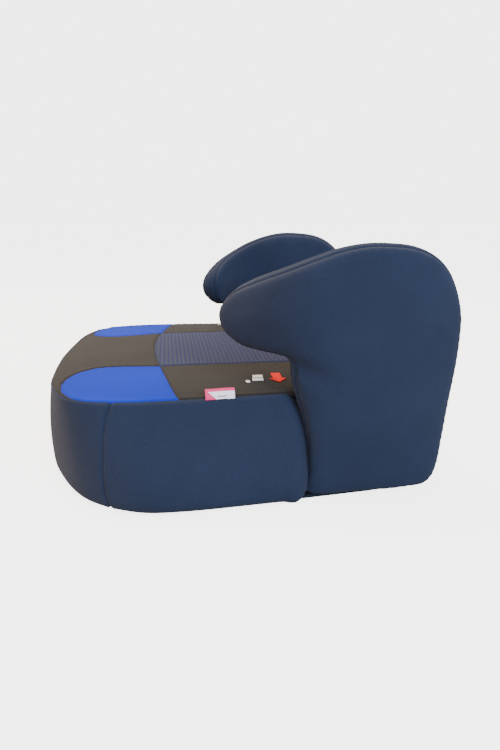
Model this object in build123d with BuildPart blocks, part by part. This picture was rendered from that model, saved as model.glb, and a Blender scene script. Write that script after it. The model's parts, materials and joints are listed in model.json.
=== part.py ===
"""Backless booster seat with a fabric cover and two hooked armrests, in millimetres.

The front of the seat faces -Y, +X is the child's left and Z = 0 is the floor. A moulded tray, open
underneath, carries a foam pad and two hollow armrest cores bolted to its sides. A sewn cover goes over
it all, and its elasticated hem turns in under the tray.
"""

import os
from math import hypot, radians, tan

from build123d import *

os.makedirs("parts", exist_ok=True)

# Overall heights.
hem_bottom = 1.2
hem_top = 2.4
hem_width = 26.0
elastic_width = 7.0
elastic_thickness = 1.2
rim_bottom = 4.0
belly_height = 50.0
seam_height = 99.0
edge_height = 104.0
crown_height = 108.5

# Layers, each measured in from the outside of the cover.
cover = 2.2
clearance = 0.3
foam_start = cover + clearance
laminate = 3.7
core_start = foam_start + laminate + clearance
shell_wall = 2.6

# Blocks that pieces are cut with reach this far, well past the seat, and start this far short of a face.
outside = 600.0
beyond = -20.0

# The middle of the whole between the seat's front and the armrests' rear, in the coordinates below.
middle_y = 3.8

# Plan of the seat, from the middle of the front edge round the left side to the rear corner.
plan_centre_y = -10.0
plan_reach = 200.0
floor_plan = [(0, -200), (120, -181), (181, -150), (213, -106), (220, -60), (214, 30), (205, 120)]
belly_plan = [(0, -200.5), (123, -183.5), (180, -154), (207, -111), (212, -60), (206, 30), (199, 120)]
seam_plan = [(0, -192), (123, -182), (172, -160), (191, -120), (193, -60), (187, 30), (185, 120)]
rear_y = 190.0
rear_corner = 22.0
front_seam_y = -125.0
edge_roll = 5.0
front_roll = 16.0

# Armrests: the outside face bends inwards towards the hook, and a little towards the rear.
armrest_x = 206.0
armrest_straight_y = 76.0
hook_bend = 0.0085
rear_bend = 0.00095
armrest_thickness = 28.0
armrest_front = 58.0
armrest_toe = 3.0
armrest_top = 250.0
gusset_gap_y = 100.0
gusset_gap_length = 140.0
hook_tip_y = -20.0
hook_underside = 135.5
armrest_side = [
    (armrest_front, hem_top),
    (168, hem_top),
    (190, 12),
    (205, 125),
    (209, 175),
    (195, 211),
    (157, 233.5),
    (105, 234.5),
    (55, 221),
    (3, 198.5),
    (-22, 180),
    (-20, 155),
    (-5, 137.5),
    (24, hook_underside),
    (41, hook_underside - 2),
    (42, 112),
    (armrest_front, 80),
]

# Seat top pattern.
ribbed_half_width = 91.0
ribbed_front_y = -76.0
ribbed_bow = 7.0
patch_inside = [(84, -118), (93, -155)]
patch_front = (127, -170)
patch_curve = (160, -163)
patch_corner = (182, -146)
patch_outer = (200, -57)

# Sewn label in the left top seam, and the marks that show where the lap belt goes.
label_y = (-37, -10)
label_top = 107.0
label_gap = 0.2
label_thickness = 0.6
print_gap = 0.05
print_thickness = 0.25
arrow_x = (142, 168)
arrow_y = 38.0
arrow_head = 12.0
arrow_width = 18.0
arrow_stem = 9.0
mark_places = [(148, 15), (159, 15)]
mark_size = (9, 11)

# Tray.
deck_top = 84.0
deck_bottom = deck_top - shell_wall
deck_inset = 14.0
shoulder_height = 72.0
shoulder_inset = 6.0
rib = 2.4
rib_depth = 6.0
rib_pitch_x = 80.0
rib_pitch_y = 70.0
boss_radius = 9.0

# Room in the tray's side walls for the cover to turn in beside each armrest, and under its rear corner.
relief_reach = 8.0
relief_depth = 9.0
heel_y = 150.0
heel_height = 30.0

# Armrest core: how far it stops short of the hook's tip, which is foam only.
core_tip = 20.0
spacer_wall = 2.0

# Feet.
foot_radius = 11.0
foot_stem = 4.0
foot_height = 4.0
foot_places = [(150, -118), (-150, -118), (145, 143), (-145, 143)]

# Fasteners.
screw_radius = 1.9
screw_head = 3.6
screw_head_height = 2.2
screw_seat_depth = 18.5
screw_tip_depth = 9.5
screw_places = [(92, 205), (155, 200), (88, 140), (165, 130), (92, 30), (155, 30)]
bolt_radius = 3.0
bolt_head = 6.0
bolt_head_height = 3.5
bolt_tip_depth = 15.5
bolt_places = [(90, 66), (125, 66)]
bolt_hole_start = 150.0
bolt_hole_length = 60.0


def save(shape, name):
    """Writes a piece with the middle of the whole, front to rear, at Y = 0."""
    placed = Pos(0, -middle_y, 0) * shape
    placed.label = name
    export_step(placed, f"parts/{name}.step")


def save_pair(left, name):
    save(left, f"{name}_left")
    with BuildPart() as right:
        mirror(left, about=Plane.YZ)
    save(right.part, f"{name}_right")


def plan_points(height, inset):
    """Points of the seat's plan at a height, drawn in towards the middle of the seat by an inset."""
    if height <= belly_height:
        low, high, share = floor_plan, belly_plan, height / belly_height
    else:
        low, high = belly_plan, seam_plan
        share = min(1.0, (height - belly_height) / (seam_height - belly_height))
    keep = 1 - inset / plan_reach
    points = []
    for (x0, y0), (x1, y1) in zip(low, high):
        x = x0 + (x1 - x0) * share
        y = y0 + (y1 - y0) * share
        points.append((x * keep, plan_centre_y + (y - plan_centre_y) * keep))
    return points


def seat_section(height, inset):
    points = plan_points(height, inset)
    back = rear_y - inset
    corner = (points[-1][0] - rear_corner / 4, back - rear_corner)
    with BuildSketch(Plane.XY.offset(height)) as section:
        with BuildLine():
            Spline(*points, corner, tangents=[(1, 0), (-0.2, 1)])
            RadiusArc(corner, (corner[0] - rear_corner, back), -rear_corner * 1.02)
            Line((corner[0] - rear_corner, back), (0, back))
            mirror(about=Plane.YZ)
        make_face()
    return section.sketch


def seat_block(levels, inset=0.0):
    """The seat's outside between levels, each a height and how far its edge is drawn in."""
    with BuildPart() as block:
        loft([seat_section(height, edge + inset) for height, edge in levels], ruled=True)
    return block.part


def armrest_face(y, depth):
    """A point of the armrest's plan at a depth below its outside face."""
    ahead = max(0.0, armrest_straight_y - y)
    behind = max(0.0, y - armrest_straight_y)
    x = armrest_x - hook_bend * ahead**2 - rear_bend * behind**2
    slope = 2 * hook_bend * ahead - 2 * rear_bend * behind
    length = hypot(1, slope)
    return (x - depth / length, y + depth * slope / length)


def armrest_band(outer_depth, inner_depth, tip_inset=0.0):
    """Upright slab that follows the armrest's bend, between two depths below its outside face."""
    stations = [hook_tip_y + tip_inset, 5, 22, 40, 58, armrest_straight_y, 95, 130, 170, 215]
    near = [armrest_face(y, outer_depth) for y in stations]
    far = [armrest_face(y, inner_depth) for y in stations]
    with BuildPart() as band:
        with BuildSketch(Plane.XY.offset(beyond)):
            with BuildLine():
                Spline(*near)
                Line(near[-1], far[-1])
                Spline(*reversed(far))
                Line(far[0], near[0])
            make_face()
        extrude(amount=armrest_top - beyond)
    return band.part


def drawn_in(corners, inset):
    """The corners of an anticlockwise polygon, moved so that every side goes inwards by an inset."""
    normals = []
    for here, after in zip(corners, corners[1:] + corners[:1]):
        along = (after[0] - here[0], after[1] - here[1])
        length = hypot(*along)
        normals.append((-along[1] / length, along[0] / length))
    moved = []
    for corner, before, after in zip(corners, normals[-1:] + normals, normals):
        share = inset / (1 + before[0] * after[0] + before[1] * after[1])
        moved.append((corner[0] + share * (before[0] + after[0]), corner[1] + share * (before[1] + after[1])))
    return moved


def corner_radius(before, corner, after):
    """The largest radius that leaves room for the next corner's on both sides."""
    into = Vector(corner) - Vector(before)
    out = Vector(after) - Vector(corner)
    turn = radians(into.get_angle(out))
    return 0.45 * min(into.length, out.length) / tan(turn / 2)


def armrest_outline(inset):
    """Side outline of an armrest, drawn in by an inset: an upright post with a hook that reaches forwards."""
    corners = drawn_in(armrest_side, inset)
    radii = [
        corner_radius(before, corner, after)
        for before, corner, after in zip(corners[-1:] + corners, corners, corners[1:] + corners[:1])
    ]
    radii[0] = armrest_toe
    with BuildPart() as outline:
        with BuildSketch(Plane.YZ):
            with BuildLine():
                FilletPolyline(*corners, radius=radii, close=True)
            make_face()
        extrude(amount=outside)
    return outline.part


def armrest_body(outline_inset, outer_depth, inner_depth, tip_inset=0.0):
    with BuildPart() as body:
        add(armrest_outline(outline_inset))
        add(armrest_band(outer_depth, inner_depth, tip_inset), mode=Mode.INTERSECT)
    return body.part


def both_sides(left):
    with BuildPart() as pair:
        add(left)
        mirror(left, about=Plane.YZ)
    return pair.part


def armrest_space(gap):
    """What the two armrests take out of the seat, with a gap all round them."""
    return both_sides(armrest_body(-gap, beyond, armrest_thickness + gap, -gap))


def tray_space(gap):
    """What the tray leaves free: the armrests, the relief beside them and the space under their rear."""
    with BuildPart() as heel:
        with BuildSketch(Plane.YZ):
            with Locations((heel_y, 0)):
                Rectangle(armrest_top, 2 * heel_height, align=(Align.MIN, Align.CENTER))
        extrude(amount=outside)
        add(armrest_band(beyond, armrest_thickness + gap), mode=Mode.INTERSECT)
    with BuildPart() as space:
        add(armrest_space(gap))
        add(both_sides(armrest_body(-relief_reach - gap, beyond, relief_depth + gap, -gap)))
        add(both_sides(heel.part))
    return space.part


seat_gap = armrest_space(clearance)

# Tray: one moulding, open underneath, given as its wall, its ribbed deck and its bosses.
tray_levels = [
    (rim_bottom, 0),
    (belly_height, 0),
    (shoulder_height, shoulder_inset),
    (deck_top, deck_inset),
]
cavity_levels = [
    (rim_bottom, 0),
    (belly_height, 0),
    (shoulder_height - clearance, shoulder_inset),
    (deck_bottom, deck_inset),
]
with BuildPart() as cavity:
    add(seat_block(cavity_levels, foam_start + shell_wall))
    add(tray_space(clearance + shell_wall), mode=Mode.SUBTRACT)

with BuildPart() as tray:
    add(seat_block(tray_levels, foam_start))
    add(tray_space(clearance), mode=Mode.SUBTRACT)

with BuildPart() as bolt_holes:
    for place_x in (bolt_hole_start, -bolt_hole_start - bolt_hole_length):
        with BuildSketch(Plane.YZ.offset(place_x)):
            with Locations(*bolt_places):
                Circle(bolt_radius + clearance)
        extrude(amount=bolt_hole_length)

with BuildPart() as base_wall:
    add(tray.part)
    add(cavity.part, mode=Mode.SUBTRACT)
    add(bolt_holes.part, mode=Mode.SUBTRACT)
    split(bisect_by=Plane.XY.offset(deck_bottom), keep=Keep.BOTTOM)
save(base_wall.part, "base_shell_wall")

with BuildPart() as ribs:
    with BuildSketch(Plane.XY.offset(deck_bottom - rib_depth)):
        with GridLocations(rib_pitch_x, 1, 5, 1):
            Rectangle(rib, 2 * plan_reach)
        with GridLocations(1, rib_pitch_y, 1, 5):
            Rectangle(2.2 * plan_reach, rib)
    extrude(amount=rib_depth)
    add(cavity.part, mode=Mode.INTERSECT)

with BuildPart() as base_deck:
    add(tray.part)
    split(bisect_by=Plane.XY.offset(deck_bottom), keep=Keep.TOP)
    add(ribs.part)
save(base_deck.part, "base_shell_deck")

# Bosses that hang from the deck, one over each foot.
with BuildPart() as base_bosses:
    with BuildSketch(Plane.XY.offset(rim_bottom)):
        with Locations(*foot_places):
            Circle(boss_radius)
    extrude(amount=deck_bottom - rim_bottom)
    add(ribs.part, mode=Mode.SUBTRACT)
    with BuildSketch(Plane.XY.offset(rim_bottom)):
        with Locations(*foot_places):
            Circle(foot_stem + clearance)
    extrude(amount=2 * foot_height, mode=Mode.SUBTRACT)
save(base_bosses.part, "base_shell_bosses")

# Rubber feet, each plugged into a boss of the tray by its stem.
with BuildPart() as rubber_feet:
    with BuildSketch(Plane.XY):
        with Locations(*foot_places):
            Circle(foot_radius)
    extrude(amount=rim_bottom - clearance)
    with BuildSketch(Plane.XY):
        with Locations(*foot_places):
            Circle(foot_stem)
    extrude(amount=rim_bottom + foot_height)
save(rubber_feet.part, "rubber_feet")

# Seat foam: a crowned pad on the deck, between the armrests.
foam_levels = [
    (deck_top + clearance, 0),
    (seam_height - 1, 0),
    (edge_height - 2, edge_roll),
    (crown_height - foam_start, front_roll),
]
with BuildPart() as seat_foam:
    add(seat_block(foam_levels, foam_start + clearance))
    add(seat_gap, mode=Mode.SUBTRACT)
save(seat_foam.part, "seat_foam")

# Armrest cores: two moulded halves that meet in the middle of the armrest, with bosses for the screws.
core_middle = armrest_thickness / 2
core_far = armrest_thickness - core_start


def core_half(near_depth, far_depth, near_wall, far_wall):
    """One moulded half, with a wall on the side that faces out, and solid round each screw."""
    with BuildPart() as bosses:
        with BuildSketch(Plane.YZ.offset(armrest_x - 2 * armrest_thickness)):
            with Locations(*screw_places):
                Circle(screw_head + shell_wall)
        extrude(amount=3 * armrest_thickness)
        add(armrest_body(core_start, near_depth, far_depth, core_tip), mode=Mode.INTERSECT)
    hollow_inset = core_start + shell_wall
    hollow_tip = core_tip + shell_wall
    with BuildPart() as half:
        add(armrest_body(core_start, near_depth, far_depth, core_tip))
        add(
            armrest_body(hollow_inset, near_depth + near_wall, far_depth - far_wall, hollow_tip),
            mode=Mode.SUBTRACT,
        )
        add(bosses.part)
    return half.part


def along_x(places, radius, near_depth, far_depth):
    """Round bars along X at places given as Y and Z, between two depths below the armrest's face."""
    with BuildPart() as bars:
        for y, z in places:
            face_x = armrest_face(y, 0)[0]
            with BuildSketch(Plane.YZ.offset(face_x - far_depth)):
                with Locations((y, z)):
                    Circle(radius)
            extrude(amount=far_depth - near_depth)
    return bars.part


with BuildPart() as core_outer:
    add(core_half(core_start, core_middle, shell_wall, -1))
    add(along_x(screw_places, screw_radius + clearance, screw_tip_depth, core_far), mode=Mode.SUBTRACT)
save_pair(core_outer.part, "armrest_core_outer")

# The inner half also has spacers that stand against the tray's side wall, where the bolts pass through.
with BuildPart() as core_inner:
    add(core_half(core_middle, core_far, -1, shell_wall))
    add(along_x(bolt_places, bolt_head + spacer_wall, core_middle + 1, armrest_thickness - 1))
    add(along_x(bolt_places, bolt_radius + clearance, bolt_tip_depth, armrest_thickness), mode=Mode.SUBTRACT)
    add(along_x(screw_places, screw_radius + clearance, core_middle - 2, core_far + 1), mode=Mode.SUBTRACT)
    add(along_x(screw_places, screw_head + clearance, screw_seat_depth, core_far + 2), mode=Mode.SUBTRACT)
    add(core_outer.part, mode=Mode.SUBTRACT)
save_pair(core_inner.part, "armrest_core_inner")

# Screws that close each core, and bolts that hold it to the tray.
with BuildPart() as core_screws:
    add(along_x(screw_places, screw_radius, screw_tip_depth + 0.5, screw_seat_depth))
    add(along_x(screw_places, screw_head, screw_seat_depth, screw_seat_depth + screw_head_height))
save_pair(core_screws.part, "armrest_core_screws")

bolt_seat_depth = armrest_thickness + shell_wall + 2 * clearance + 1
with BuildPart() as mounting_bolts:
    add(along_x(bolt_places, bolt_radius, bolt_tip_depth + 0.5, bolt_seat_depth))
    add(along_x(bolt_places, bolt_head, bolt_seat_depth, bolt_seat_depth + bolt_head_height))
save_pair(mounting_bolts.part, "armrest_mounting_bolts")

# Everything above the height of the seat's top seam.
with BuildPart() as above_seat:
    with BuildSketch(Plane.XY.offset(seam_height)):
        Rectangle(outside, outside)
    extrude(amount=armrest_top - seam_height)

# Foam sleeve over each core, open at the bottom, and cut away where the core stands against the tray.
with BuildPart() as inner_skirt:
    add(armrest_body(-clearance, core_far - clearance, armrest_thickness + clearance, -clearance))
    add(above_seat.part, mode=Mode.SUBTRACT)

with BuildPart() as armrest_foam:
    add(armrest_body(foam_start, foam_start, armrest_thickness - foam_start, foam_start))
    add(
        armrest_body(
            foam_start + laminate,
            foam_start + laminate,
            armrest_thickness - foam_start - laminate,
            foam_start + laminate,
        ),
        mode=Mode.SUBTRACT,
    )
    add(inner_skirt.part, mode=Mode.SUBTRACT)
    with BuildSketch(Plane.XY):
        Rectangle(outside, outside)
    extrude(amount=core_start + hem_top, mode=Mode.SUBTRACT)
save_pair(armrest_foam.part, "armrest_foam")

# Armrest cover: an outer panel, an inner panel above the seat, and the gusset between their edges.
with BuildPart() as outer_panel:
    add(armrest_body(0, 0, cover))
save_pair(outer_panel.part, "cover_armrest_outer")

with BuildPart() as inner_panel:
    add(armrest_body(0, armrest_thickness - cover, armrest_thickness))
    add(above_seat.part, mode=Mode.INTERSECT)
save_pair(inner_panel.part, "cover_armrest_inner")

with BuildPart() as gusset:
    add(armrest_body(0, cover, armrest_thickness - cover))
    add(armrest_body(cover, cover - 1, armrest_thickness, cover), mode=Mode.SUBTRACT)
    with BuildSketch(Plane.XY):
        with Locations((armrest_x, gusset_gap_y)):
            Rectangle(outside / 4, gusset_gap_length)
    extrude(amount=seam_height, mode=Mode.SUBTRACT)
save_pair(gusset.part, "cover_armrest_gusset")

# Boxing: the upright band of the cover round the seat, in a front, two side and a rear panel.
wall_levels = [(hem_top, 0), (belly_height, 0), (seam_height, 0)]
with BuildPart() as boxing:
    add(seat_block(wall_levels))
    add(seat_block(wall_levels, cover), mode=Mode.SUBTRACT)
    add(seat_gap, mode=Mode.SUBTRACT)

with BuildPart() as front_boxing:
    add(boxing.part)
    split(bisect_by=Plane.XZ.offset(-front_seam_y), keep=Keep.TOP)
save(front_boxing.part, "cover_front_boxing")

with BuildPart() as side_boxing:
    add(boxing.part)
    split(bisect_by=Plane.XZ.offset(-front_seam_y), keep=Keep.BOTTOM)
    split(bisect_by=Plane.XZ.offset(-armrest_front), keep=Keep.TOP)
    split(bisect_by=Plane.YZ, keep=Keep.TOP)
save_pair(side_boxing.part, "cover_side_boxing")

with BuildPart() as rear_boxing:
    add(boxing.part)
    split(bisect_by=Plane.XZ.offset(-rear_y + rear_corner), keep=Keep.BOTTOM)
    split(bisect_by=Plane.YZ.offset(armrest_x - armrest_thickness - 1), keep=Keep.BOTTOM)
    split(bisect_by=Plane.YZ.offset(armrest_thickness + 1 - armrest_x), keep=Keep.TOP)
save(rear_boxing.part, "cover_rear_boxing")

# Seat top: six panels of one crowned sheet.
top_levels = [(seam_height, 0), (edge_height, edge_roll), (crown_height, front_roll)]
lining_levels = [
    (seam_height - 1, 0),
    (seam_height, 0),
    (edge_height - 1, edge_roll),
    (crown_height - cover, front_roll),
]
with BuildPart() as seat_top:
    add(seat_block(top_levels))
    add(seat_block(lining_levels, cover), mode=Mode.SUBTRACT)
    add(seat_gap, mode=Mode.SUBTRACT)


def upright(outline):
    """A column over the seat with a closed plan outline made by a function."""
    with BuildPart() as column:
        with BuildSketch(Plane.XY.offset(hem_top)):
            with BuildLine():
                outline()
            make_face()
        extrude(amount=2 * crown_height)
    return column.part


def ribbed_plan():
    """From the bowed front edge of the ribbed panel to behind the seat."""
    left = (ribbed_half_width, ribbed_front_y)
    right = (-ribbed_half_width, ribbed_front_y)
    ThreePointArc(left, (0, ribbed_front_y - ribbed_bow), right)
    Polyline(right, (-ribbed_half_width, outside), (ribbed_half_width, outside), left)


def patch_plan():
    """The blue corner patch, which runs out past the side of the seat."""
    start = (ribbed_half_width, ribbed_front_y)
    Spline(start, *patch_inside, patch_front, tangents=[(-0.05, -1), (1, -0.05)])
    Spline(patch_front, patch_curve, patch_corner, tangents=[(1, -0.05), (0.6, 1)])
    Polyline(patch_corner, (outside, patch_corner[1]), (outside, patch_outer[1]), patch_outer, start)


def side_plan():
    """The side band, outside the ribbed panel and behind the patch."""
    start = (ribbed_half_width, ribbed_front_y)
    back = (ribbed_half_width, outside)
    Polyline(start, patch_outer, (outside, patch_outer[1]), (outside, outside), back, start)


ribbed_column = upright(ribbed_plan)
patch_column = upright(patch_plan)
side_column = upright(side_plan)

with BuildPart() as ribbed_panel:
    add(seat_top.part)
    add(ribbed_column, mode=Mode.INTERSECT)
save(ribbed_panel.part, "cover_ribbed_panel")

with BuildPart() as patch:
    add(seat_top.part)
    add(patch_column, mode=Mode.INTERSECT)
save_pair(patch.part, "cover_front_patch")

with BuildPart() as side_band:
    add(seat_top.part)
    add(side_column, mode=Mode.INTERSECT)
save_pair(side_band.part, "cover_side_band")

with BuildPart() as top_front:
    add(seat_top.part)
    add(ribbed_column, mode=Mode.SUBTRACT)
    add(both_sides(patch_column), mode=Mode.SUBTRACT)
    add(both_sides(side_column), mode=Mode.SUBTRACT)
save(top_front.part, "cover_top_front")

# Hem: the cover's edge turned in under the tray, with a flat elastic in it.
with BuildPart() as hem:
    extrude(seat_section(hem_bottom, 0), amount=hem_top - hem_bottom)
    extrude(seat_section(hem_bottom, hem_width), amount=hem_top - hem_bottom, mode=Mode.SUBTRACT)
save(hem.part, "cover_hem")

with BuildPart() as elastic:
    extrude(seat_section(hem_top, hem_width - elastic_width), amount=elastic_thickness)
    extrude(seat_section(hem_top, hem_width), amount=elastic_thickness, mode=Mode.SUBTRACT)
save(elastic.part, "hem_elastic")

# Label, folded over the left top seam.
with BuildPart() as label:
    add(seat_block(top_levels, -label_gap - label_thickness))
    add(seat_block(top_levels, -label_gap), mode=Mode.SUBTRACT)
    with BuildSketch(Plane.XY.offset(seam_height + 1)):
        with Locations((outside / 2, sum(label_y) / 2)):
            Rectangle(outside, label_y[1] - label_y[0])
    extrude(amount=label_top - seam_height, mode=Mode.INTERSECT)
save(label.part, "sewn_label")

# Lap-belt marks: an arrow on each side band that points outwards, and two small bars.
with BuildPart() as arrow:
    with BuildSketch(Plane.XY.offset(crown_height + print_gap)):
        with BuildLine():
            Polyline(
                (arrow_x[1], arrow_y),
                (arrow_x[1] - arrow_head, arrow_y + arrow_width / 2),
                (arrow_x[1] - arrow_head, arrow_y + arrow_stem / 2),
                (arrow_x[0], arrow_y + arrow_stem / 2),
                (arrow_x[0], arrow_y - arrow_stem / 2),
                (arrow_x[1] - arrow_head, arrow_y - arrow_stem / 2),
                (arrow_x[1] - arrow_head, arrow_y - arrow_width / 2),
                close=True,
            )
        make_face()
    extrude(amount=print_thickness)
save_pair(arrow.part, "belt_arrow")

with BuildPart() as marks:
    with BuildSketch(Plane.XY.offset(crown_height + print_gap)):
        with Locations(*mark_places):
            Rectangle(*mark_size)
    extrude(amount=print_thickness)
save_pair(marks.part, "belt_marks")
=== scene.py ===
"""The looks of a backless booster seat: its sewn cover, foam, label and prints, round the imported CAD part.

Every panel of the cover is a closed sheet of its own. It is drawn flat, in millimetres, as an outline over a
surface: the seat's top seen from above, its upright boxing unrolled round the plan, or the armrest's side
unrolled along its bend. The sheet is filled with points, laid on the surface, and pulled in along its seams.
"""

import json
import math

import bpy
import numpy as np
from mathutils import Matrix, Vector, noise
from mathutils.geometry import delaunay_2d_cdt


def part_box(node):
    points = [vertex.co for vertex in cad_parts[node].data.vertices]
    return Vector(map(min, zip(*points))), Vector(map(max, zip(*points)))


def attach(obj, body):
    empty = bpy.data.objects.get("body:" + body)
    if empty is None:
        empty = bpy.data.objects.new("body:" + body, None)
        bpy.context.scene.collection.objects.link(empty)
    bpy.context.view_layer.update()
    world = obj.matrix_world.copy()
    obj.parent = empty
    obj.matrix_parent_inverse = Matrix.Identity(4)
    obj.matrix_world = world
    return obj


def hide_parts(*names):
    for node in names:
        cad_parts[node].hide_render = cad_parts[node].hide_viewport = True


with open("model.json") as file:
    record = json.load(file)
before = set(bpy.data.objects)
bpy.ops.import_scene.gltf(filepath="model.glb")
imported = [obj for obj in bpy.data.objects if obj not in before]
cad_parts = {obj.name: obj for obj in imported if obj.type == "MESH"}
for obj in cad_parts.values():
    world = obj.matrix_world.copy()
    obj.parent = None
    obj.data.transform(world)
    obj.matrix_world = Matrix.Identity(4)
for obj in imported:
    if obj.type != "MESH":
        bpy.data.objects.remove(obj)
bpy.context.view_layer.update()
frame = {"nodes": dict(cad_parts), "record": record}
MM = 0.001

# How far apart the points of a line lie, unless it says otherwise.
LINE_STEP = 2.5

# The seat: its hem, the flat and the corners of its rear, and its heights.
HEM_Z = 1.4
HEM_START, HEM_END = 6.0, 26.0
HEM_THICK = 0.8
REAR_FLAT = 158.0
REAR_CORNER = 17.0
REAR_INSET = 1.5
REAR_BULGE = 3.0
BELLY_Z = 50.0
SEAM_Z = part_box("cover_side_boxing_left")[1].z / MM + 0.5
CROWN_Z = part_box("cover_ribbed_panel")[1].z / MM - 1.3

# The middle of the whole between the seat's front and the armrests' rear, in the coordinates below.
MIDDLE_Y = 3.8
REAR_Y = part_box("cover_rear_boxing")[1].y / MM + MIDDLE_Y

# Plan of the seat from the middle of the front edge round the left side, at three heights.
FLOOR_PLAN = [(0, -200), (60, -196), (120, -181), (181, -150), (213, -106), (220, -60)]
FLOOR_PLAN += [(214, 30), (205, 120)]
BELLY_PLAN = [(0, -200.5), (62, -196), (123, -183.5), (180, -154), (207, -111), (212, -60)]
BELLY_PLAN += [(206, 30), (199, 120)]
SEAM_PLAN = [(0, -189.5), (62, -187), (123, -180.5), (172, -160), (191, -120), (193, -60)]
SEAM_PLAN += [(187, 30), (185, 120)]
FRONT_SEAM = [(-123, 1), (-127, 20), (-128, 35), (-127, 55), (-125, 77), (-121, 91), (-117, 100)]
BOXING_END = [(61, 1), (62, 20), (61, 60), (58.5, 80), (55, 90), (50.5, 100)]
FOOT_ROLL = 9.0

# Cushion: how far it falls away from the crown towards the sides and the front, the roll at its seam, and how
# far it tucks in beside the armrests, at SIDE_X.
HALF_WIDTH = 190.0
SIDE_FALL = 6.8
FRONT_FALL = 5.0
FRONT_FALL_Y = -20.0
FRONT_FALL_LENGTH = 180.0
ROLL = 19.0
FRONT_ROLL = 9.0
REAR_ROLL = 14.0
ROLL_POWER = 2.2
SIDE_X = 179.0
TUCK = 3.0
TUCK_WIDTH = 12.0
TUCK_FROM_Y = 40.0

# Pattern of the seat's top.
RIBBED_X = 91.0
RIBBED_Y = -76.0
RIBBED_BOW = 7.0
RIB_PITCH = 4.6
RIB_HEIGHT = 0.5
RIB_ROWS = 380

# Armrest: bend of its outside face, thickness, and side outline as Y and Z.
ARM_X = 206.0
ARM_STRAIGHT_Y = 76.0
HOOK_BEND = 0.0085
REAR_BEND = 0.00095
ARM_THICK = 28.0
ARM_ROUND = 11.0
ARM_BULGE = 3.6
ARM_BULGE_REACH = 26.0
HOOK_CUT = 0.85
FOOT_FLARE = 4.5
ARM_SEAM_ANGLE = math.radians(62)
ARM_FRONT = [(58, 2), (57.5, 28), (57, 54), (54.5, 76), (49.7, 95), (45.8, 112)]
ARM_HOOK = [(45.3, 125), (42, 132.2), (33, 134.6), (16, 135.6), (-2, 138.2), (-13, 144.5), (-19, 155)]
ARM_TIP = [(-20, 167), (-16.5, 178), (-6, 189.5), (12, 200)]
ARM_TOP = [(36, 211), (60, 221.5), (82, 229), (106, 233.5), (130, 233.5)]
ARM_REAR = [(153, 230.8), (173, 223), (189, 209.5), (200, 191), (206.8, 170), (208, 149), (206.3, 120)]
ARM_FOOT = [(201.5, 82), (197.8, 48), (194, 26), (188.5, 11.5), (178.5, 3), (164, 1.5), (110, 1.8)]
ARM_OUTLINE = ARM_FRONT + ARM_HOOK + ARM_TIP + ARM_TOP + ARM_REAR + ARM_FOOT

# The fold that runs into the armrest's side from the corner under its hook.
CROOK = (57.0, 124.0)
CROOK_TURN = math.radians(-20)
CROOK_DEPTH = 5.2
CROOK_LENGTH = 20.0
CROOK_ABOVE, CROOK_BELOW = 6.5, 10.0

# Cloth, and the foam under it.
SHEET = 2.2
FOAM_INSET = SHEET + 1.2
FOAM_WALL = 3.2
FOAM_ROUND = 8.0

# Depth and width of the seams: round the seat's top, in its boxing, at the boxing's end, in the top itself and
# on the armrests.
RIM_DEPTH, RIM_WIDTH = 1.5, 1.6
SEAM_DEPTH, SEAM_WIDTH = 1.2, 1.4
END_DEPTH, END_WIDTH = 9.5, 7.0
TOP_DEPTH, TOP_WIDTH = 0.9, 1.3
ARM_SEAM_DEPTH, ARM_SEAM_WIDTH = 1.2, 1.3


# Curves -----------------------------------------------------------------------------------------------------


def smooth(points, step=LINE_STEP, closed=False):
    """A Catmull-Rom curve through points, as evenly spaced points about a step apart."""
    p = np.array(points, float)
    if closed:
        p = np.vstack([p[-1], p, p[:2]])
    else:
        p = np.vstack([2 * p[0] - p[1], p, 2 * p[-1] - p[-2]])
    t = np.linspace(0, 1, 24, endpoint=False)[:, None]
    dense = []
    for a, b, c, d in zip(p, p[1:], p[2:], p[3:]):
        square, cube = 2 * a - 5 * b + 4 * c - d, 3 * b - a - 3 * c + d
        dense.append(0.5 * (2 * b + (c - a) * t + square * t**2 + cube * t**3))
    return even(np.vstack(dense + [p[-2][None]]), step)


def lengths(line):
    """The way along a line at each of its points."""
    return np.concatenate([[0], np.cumsum(np.linalg.norm(np.diff(line, axis=0), axis=1))])


def spread(line, count):
    """The same line as a count of evenly spaced points."""
    along = lengths(line)
    places = np.linspace(0, along[-1], count)
    return np.stack([np.interp(places, along, line[:, k]) for k in range(line.shape[1])], 1)


def even(line, step=LINE_STEP):
    """The same line with points about a step apart."""
    return spread(line, max(2, int(round(lengths(line)[-1] / step)) + 1))


def even_loop(outline, step):
    """The same closed outline with points about a step apart."""
    return even(np.vstack([outline, outline[:1]]), step)[:-1]


def polygon(*lines):
    """Lines that follow one another round a closed outline, with no point twice."""
    points = []
    for line in lines:
        for x, y in np.asarray(line, float):
            if not points or math.hypot(points[-1][0] - x, points[-1][1] - y) > 0.05:
                points.append((x, y))
    if math.hypot(points[0][0] - points[-1][0], points[0][1] - points[-1][1]) < 0.05:
        points.pop()
    return np.array(points)


def straight(a, b, step=LINE_STEP):
    return even(np.array([a, b], float), step)


def distance(points, line, closed=False):
    """How far each point is from a line."""
    a = np.asarray(line, float)
    b = np.roll(a, -1, axis=0) if closed else a[1:]
    a = a if closed else a[:-1]
    best = np.full(len(points), np.inf)
    for start in range(0, len(points), 4000):
        p = points[start : start + 4000]
        ab = b - a
        t = np.einsum("ijk,jk->ij", p[:, None] - a[None], ab) / np.maximum((ab**2).sum(1), 1e-12)
        t = np.clip(t, 0, 1)
        gap = p[:, None] - (a[None] + t[..., None] * ab[None])
        best[start : start + 4000] = np.sqrt((gap**2).sum(2)).min(1)
    return best


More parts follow.
